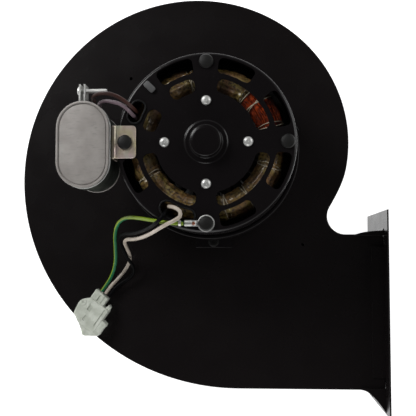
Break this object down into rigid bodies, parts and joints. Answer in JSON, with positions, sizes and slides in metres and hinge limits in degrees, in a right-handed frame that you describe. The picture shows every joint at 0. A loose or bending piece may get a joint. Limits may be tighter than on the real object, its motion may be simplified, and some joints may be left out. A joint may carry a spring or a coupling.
{
  "type": "combustion fan",
  "caption": "Centrifugal combustion fan with a black scroll housing, a flanged outlet, a vented capacitor motor on the side plate and short leads to an in-line plug.",
  "frame": {"origin": "middle of the underside of the fan's own box, measured without its leads and their plug", "axes": "+Z along the fan axis from the inlet towards the motor, +X out of the outlet, +Y across the outlet towards the wheel"},
  "size_m": [0.283, 0.3232, 0.1895],
  "materials": {
    "housing_paint": "satin black paint on steel sheet",
    "zinc_steel": "bright zinc plate",
    "motor_paint": "semi-gloss black enamel on drawn steel",
    "bolt_black": "black phosphate on steel",
    "bearing_bronze": "sintered bronze",
    "dark_plastic": "moulded, matte",
    "grey_nylon": "moulded nylon",
    "lamination_steel": "stacked laminations under a thin varnish",
    "winding_tape": "varnished insulating tape over copper wire",
    "winding_enamel": "red-orange enamelled copper wire",
    "machined_steel": "ground or turned steel",
    "cast_aluminium": "as cast",
    "fibre": "fibre washer",
    "wheel_steel": "galvanised sheet",
    "can_aluminium": "drawn aluminium, dull",
    "yellow_zinc": "pale yellow passivated zinc plate",
    "earth_insulation": "green and yellow striped insulation",
    "white_insulation": "white insulation",
    "black_insulation": "black insulation",
    "brown_insulation": "brown insulation",
    "mauve_insulation": "mauve insulation",
    "milky_nylon": "translucent moulded nylon"
  },
  "bodies": {
    "housing": {"housing_motor_plate": "housing_paint", "housing_inlet_plate": "housing_paint", "scroll_wrap": "housing_paint", "outlet_flange": "housing_paint", "inlet_ring": "housing_paint", "inlet_ring_screw_1": "zinc_steel", "inlet_ring_screw_2": "zinc_steel", "inlet_ring_screw_3": "zinc_steel", "inlet_ring_screw_4": "zinc_steel", "motor_outer_bell": "motor_paint", "motor_inner_shell": "motor_paint", "motor_foot_1": "motor_paint", "foot_screw_1": "bolt_black", "motor_foot_2": "motor_paint", "foot_screw_2": "bolt_black", "motor_foot_3": "motor_paint", "foot_screw_3": "bolt_black", "through_bolt_1": "bolt_black", "through_bolt_2": "bolt_black", "through_bolt_3": "bolt_black", "through_bolt_4": "bolt_black", "retainer_rivet_1": "zinc_steel", "retainer_rivet_2": "zinc_steel", "retainer_rivet_3": "zinc_steel", "retainer_rivet_4": "zinc_steel", "bearing_retainer_outboard": "zinc_steel", "bearing_retainer_inboard": "zinc_steel", "bearing_outboard": "bearing_bronze", "bearing_inboard": "bearing_bronze", "lead_grommet": "dark_plastic", "capacitor_lead_grommet": "dark_plastic", "nylon_tab": "grey_nylon", "stator_core": "lamination_steel", "main_winding_outboard": "winding_tape", "start_winding_outboard": "winding_enamel", "winding_inboard": "winding_tape", "capacitor_can": "can_aluminium", "capacitor_strap": "zinc_steel", "capacitor_bracket": "yellow_zinc", "strap_screw": "zinc_steel", "capacitor_terminal_cap": "dark_plastic", "ring_terminal": "zinc_steel", "earth_lead": "earth_insulation", "white_lead": "white_insulation", "black_lead": "black_insulation", "brown_capacitor_lead": "brown_insulation", "mauve_capacitor_lead": "mauve_insulation", "plug_housing": "milky_nylon"},
    "rotor": {"motor_shaft": "machined_steel", "rotor_core": "lamination_steel", "rotor_end_ring_outboard": "cast_aluminium", "rotor_end_ring_inboard": "cast_aluminium", "thrust_washer_outboard": "fibre", "thrust_washer_inboard": "fibre", "cooling_fan": "cast_aluminium", "wheel_hub": "machined_steel", "wheel_back_plate": "wheel_steel", "wheel_blade_ring": "wheel_steel", "wheel_set_screw": "bolt_black"}
  },
  "joints": [
    {"name": "rotor_spin", "type": "hinge", "parent": "housing", "child": "rotor", "pos_m": [0.0095, 0.03395, 0.0852], "axis": [0, 0, 1], "continuous": true}
  ]
}
